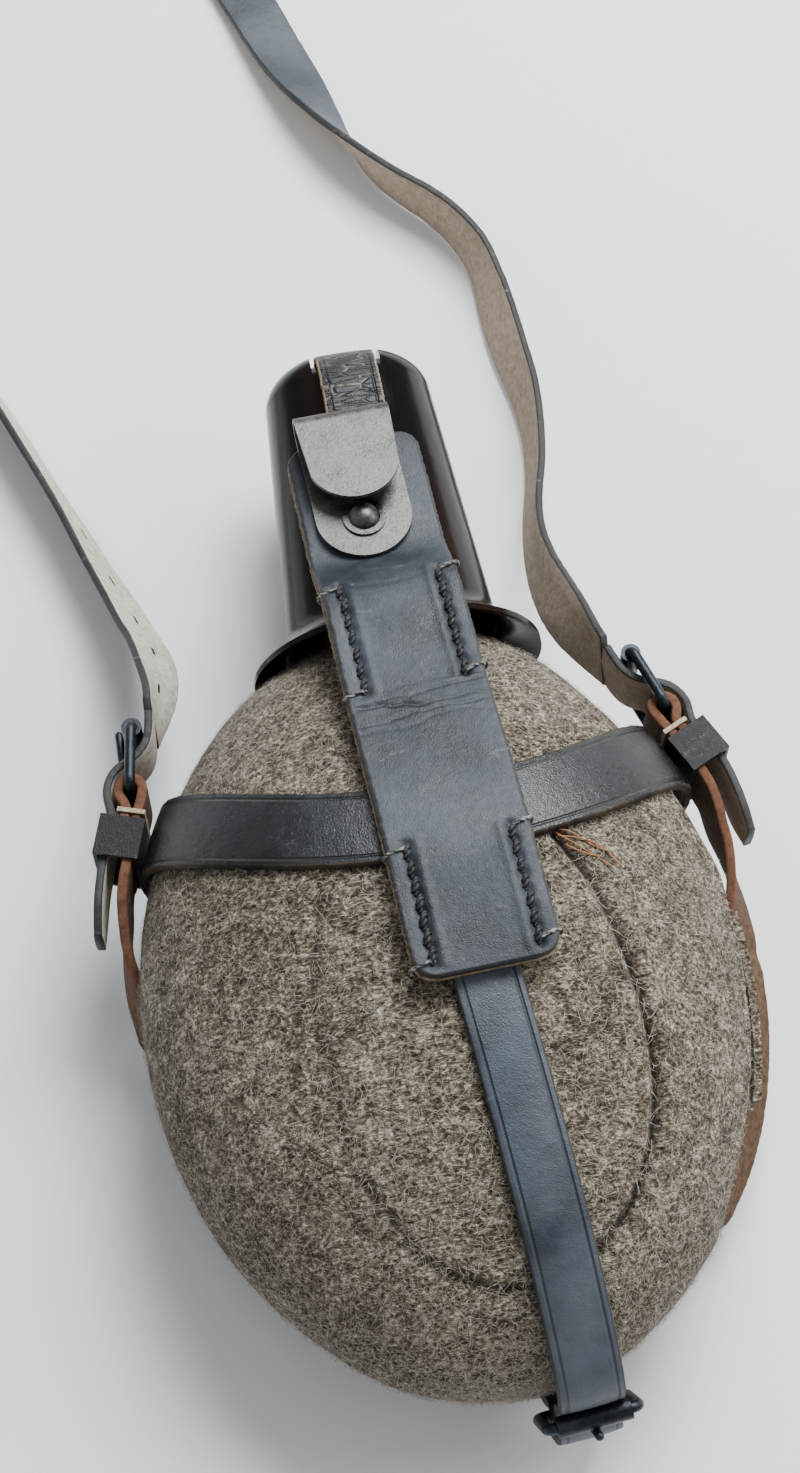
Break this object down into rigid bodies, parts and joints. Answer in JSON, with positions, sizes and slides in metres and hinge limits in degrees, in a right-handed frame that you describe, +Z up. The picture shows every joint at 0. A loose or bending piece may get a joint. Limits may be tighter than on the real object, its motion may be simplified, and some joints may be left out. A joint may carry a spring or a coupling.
{
  "type": "canteen",
  "caption": "Felt-covered oval canteen with a cup inverted over its neck, a buckled leather harness with a belt hook, and a long shoulder strap.",
  "frame": {"origin": "middle of the underside that it lies on, without the free shoulder strap", "axes": "+Y from the bottle's bottom to the cup, +Z up from the back it lies on"},
  "size_m": [0.285, 0.598, 0.0951],
  "materials": {
    "felt": "felted wool",
    "cup_plastic": "moulded, worn gloss",
    "bottle_metal": "spun",
    "cap_plastic": "moulded",
    "seal": "matt",
    "harness_leather": "blackened, worn grain",
    "raw_leather": "undyed flesh side",
    "sling_leather": "worn brown",
    "thread": "waxed thread",
    "light_thread": "waxed thread",
    "hook_steel": "grey, worn",
    "buckle_steel": "blued, worn"
  },
  "bodies": {
    "canteen": {"bottle": "bottle_metal", "felt_cover": "felt", "cover_overlap": "felt", "press_studs": "buckle_steel", "side_band": "harness_leather", "front_strap": "harness_leather", "back_strap": "harness_leather", "side_sling": "sling_leather", "right_sling_tie": "light_thread", "left_sling_tie": "light_thread", "right_buckle": "buckle_steel", "left_buckle": "buckle_steel", "bottom_buckle": "buckle_steel", "right_tail": "harness_leather", "left_tail": "harness_leather", "shoulder_strap": "harness_leather"},
    "cup_set": {"cup": "cup_plastic", "cup_strap": "harness_leather", "hook_pad": "harness_leather", "pad_backing": "raw_leather", "upper_stitches": "thread", "lower_stitches": "thread", "belt_hook": "hook_steel", "hook_rivet": "hook_steel", "rivet_washer": "hook_steel"},
    "seal_body": {"cap_seal": "seal"},
    "cap_body": {"screw_cap": "cap_plastic"},
    "right_roller_body": {"right_roller": "buckle_steel"},
    "right_prong_body": {"right_prong": "buckle_steel"},
    "right_keeper_body": {"right_keeper": "harness_leather"},
    "left_roller_body": {"left_roller": "buckle_steel"},
    "left_prong_body": {"left_prong": "buckle_steel"},
    "left_keeper_body": {"left_keeper": "harness_leather"},
    "bottom_roller_body": {"bottom_roller": "buckle_steel"},
    "bottom_prong_body": {"bottom_prong": "buckle_steel"}
  },
  "joints": [
    {"name": "cup_lift", "type": "slide", "parent": "canteen", "child": "cup_set", "axis": [0, 1, 0], "range_m": [0, 0.1]},
    {"name": "cap_rise", "type": "slide", "parent": "canteen", "child": "seal_body", "axis": [0, 1, 0], "range_m": [0, 0.0075]},
    {"name": "cap_turn", "type": "hinge", "parent": "seal_body", "child": "cap_body", "pos_m": [0.00348, 0.07661, 0.041], "axis": [0, 1, 0], "range_deg": [0, 900]},
    {"name": "right_roller_spin", "type": "hinge", "parent": "canteen", "child": "right_roller_body", "pos_m": [0.06283, 0.04478, 0.043], "axis": [0, 0, 1], "continuous": true},
    {"name": "right_prong_swing", "type": "hinge", "parent": "canteen", "child": "right_prong_body", "pos_m": [0.06808, 0.02861, 0.043], "axis": [0, 0, -1], "range_deg": [0, 30]},
    {"name": "right_keeper_slide", "type": "slide", "parent": "canteen", "child": "right_keeper_body", "axis": [-0.4384, 0.8988, 0], "range_m": [-0.0012, 0.001]},
    {"name": "left_roller_spin", "type": "hinge", "parent": "canteen", "child": "left_roller_body", "pos_m": [-0.06786, 0.04545, 0.043], "axis": [0, 0, 1], "continuous": true},
    {"name": "left_prong_swing", "type": "hinge", "parent": "canteen", "child": "left_prong_body", "pos_m": [-0.07022, 0.02861, 0.043], "axis": [0, 0, 1], "range_deg": [0, 30]},
    {"name": "left_keeper_slide", "type": "slide", "parent": "canteen", "child": "left_keeper_body", "axis": [0.309, 0.9511, 0], "range_m": [-0.002, 0.001]},
    {"name": "bottom_roller_spin", "type": "hinge", "parent": "canteen", "child": "bottom_roller_body", "pos_m": [0.01544, -0.14345, 0.03997], "axis": [0.9954, 0.0958, 0], "continuous": true},
    {"name": "bottom_prong_swing", "type": "hinge", "parent": "canteen", "child": "bottom_prong_body", "pos_m": [0.01489, -0.13766, 0.024], "axis": [0.9954, 0.0958, 0], "range_deg": [0, 30]}
  ],
  "couplings": [
    {"joint": "cap_rise", "follows": "cap_turn", "m_per_rad": 0.0004775}
  ]
}
